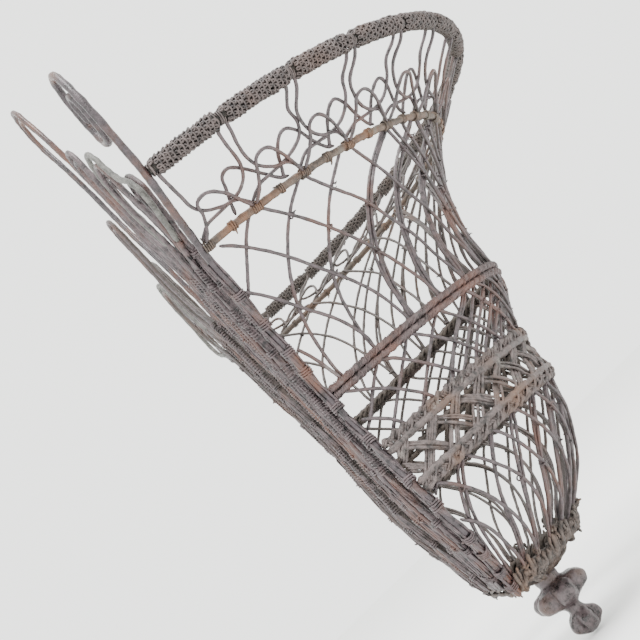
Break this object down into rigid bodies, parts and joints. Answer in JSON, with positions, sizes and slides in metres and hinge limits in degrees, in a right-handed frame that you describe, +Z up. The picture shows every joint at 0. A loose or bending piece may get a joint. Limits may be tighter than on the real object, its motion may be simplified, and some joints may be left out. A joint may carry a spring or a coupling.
{
  "type": "wall basket",
  "caption": "Half-round wirework wall basket with a flared rim, narrow waist, round bowl, looped arched back, two scrolled back rails and a turned finial below.",
  "frame": {"origin": "the hanging point: under the crown of the tall middle arch of the back, in the plane of the wall", "axes": "+Z up, front of the basket towards -Y, +X to the right as seen from the front; the wall is the plane y = 0"},
  "size_m": [0.4404, 0.3001, 0.5882],
  "materials": {
    "grey_rust": "old iron wire, grey-brown and rusted, rough",
    "orange_rust": "bare iron rod with orange rust, rough",
    "red_rust": "reddish-brown rust, rough",
    "dark_rust": "dark brown rust with old dirt, rough"
  },
  "bodies": {
    "root": {"back_arch_1_left": "grey_rust", "back_arch_1_right": "grey_rust", "back_arch_2_left": "grey_rust", "back_arch_2_right": "grey_rust", "back_arch_3_left": "grey_rust", "back_arch_3_right": "grey_rust", "back_arch_4_left": "grey_rust", "back_arch_4_right": "grey_rust", "back_arch_centre": "grey_rust", "band_hoop_lower": "grey_rust", "band_hoop_upper": "grey_rust", "band_weave_inner": "grey_rust", "band_weave_outer": "grey_rust", "finial": "red_rust", "foot_hoop": "grey_rust", "foot_plait": "dark_rust", "gallery_hairpin_1": "grey_rust", "gallery_hairpin_2": "grey_rust", "gallery_hairpin_3": "grey_rust", "gallery_hairpin_4": "grey_rust", "gallery_hairpin_5": "grey_rust", "gallery_hairpin_6": "grey_rust", "lattice_left_1": "grey_rust", "lattice_left_10": "grey_rust", "lattice_left_2": "grey_rust", "lattice_left_3": "grey_rust", "lattice_left_4": "grey_rust", "lattice_left_5": "grey_rust", "lattice_left_6": "grey_rust", "lattice_left_7": "grey_rust", "lattice_left_8": "grey_rust", "lattice_left_9": "grey_rust", "lattice_right_1": "grey_rust", "lattice_right_10": "grey_rust", "lattice_right_2": "grey_rust", "lattice_right_3": "grey_rust", "lattice_right_4": "grey_rust", "lattice_right_5": "grey_rust", "lattice_right_6": "grey_rust", "lattice_right_7": "grey_rust", "lattice_right_8": "grey_rust", "lattice_right_9": "grey_rust", "left_rail": "grey_rust", "neck_ring": "orange_rust", "right_rail": "grey_rust", "rim_core": "dark_rust", "rim_sleeve_1": "grey_rust", "rim_sleeve_2": "grey_rust", "rim_sleeve_3": "grey_rust", "rim_sleeve_4": "grey_rust", "rim_sleeve_5": "grey_rust", "rim_sleeve_6": "grey_rust", "scallop_inner": "grey_rust", "scallop_outer": "grey_rust", "tie_band_left": "orange_rust", "tie_band_right": "orange_rust", "tie_neck_left": "orange_rust", "tie_neck_right": "orange_rust", "waist_hoop_lower": "red_rust", "waist_hoop_upper": "red_rust"}
  },
  "joints": []
}
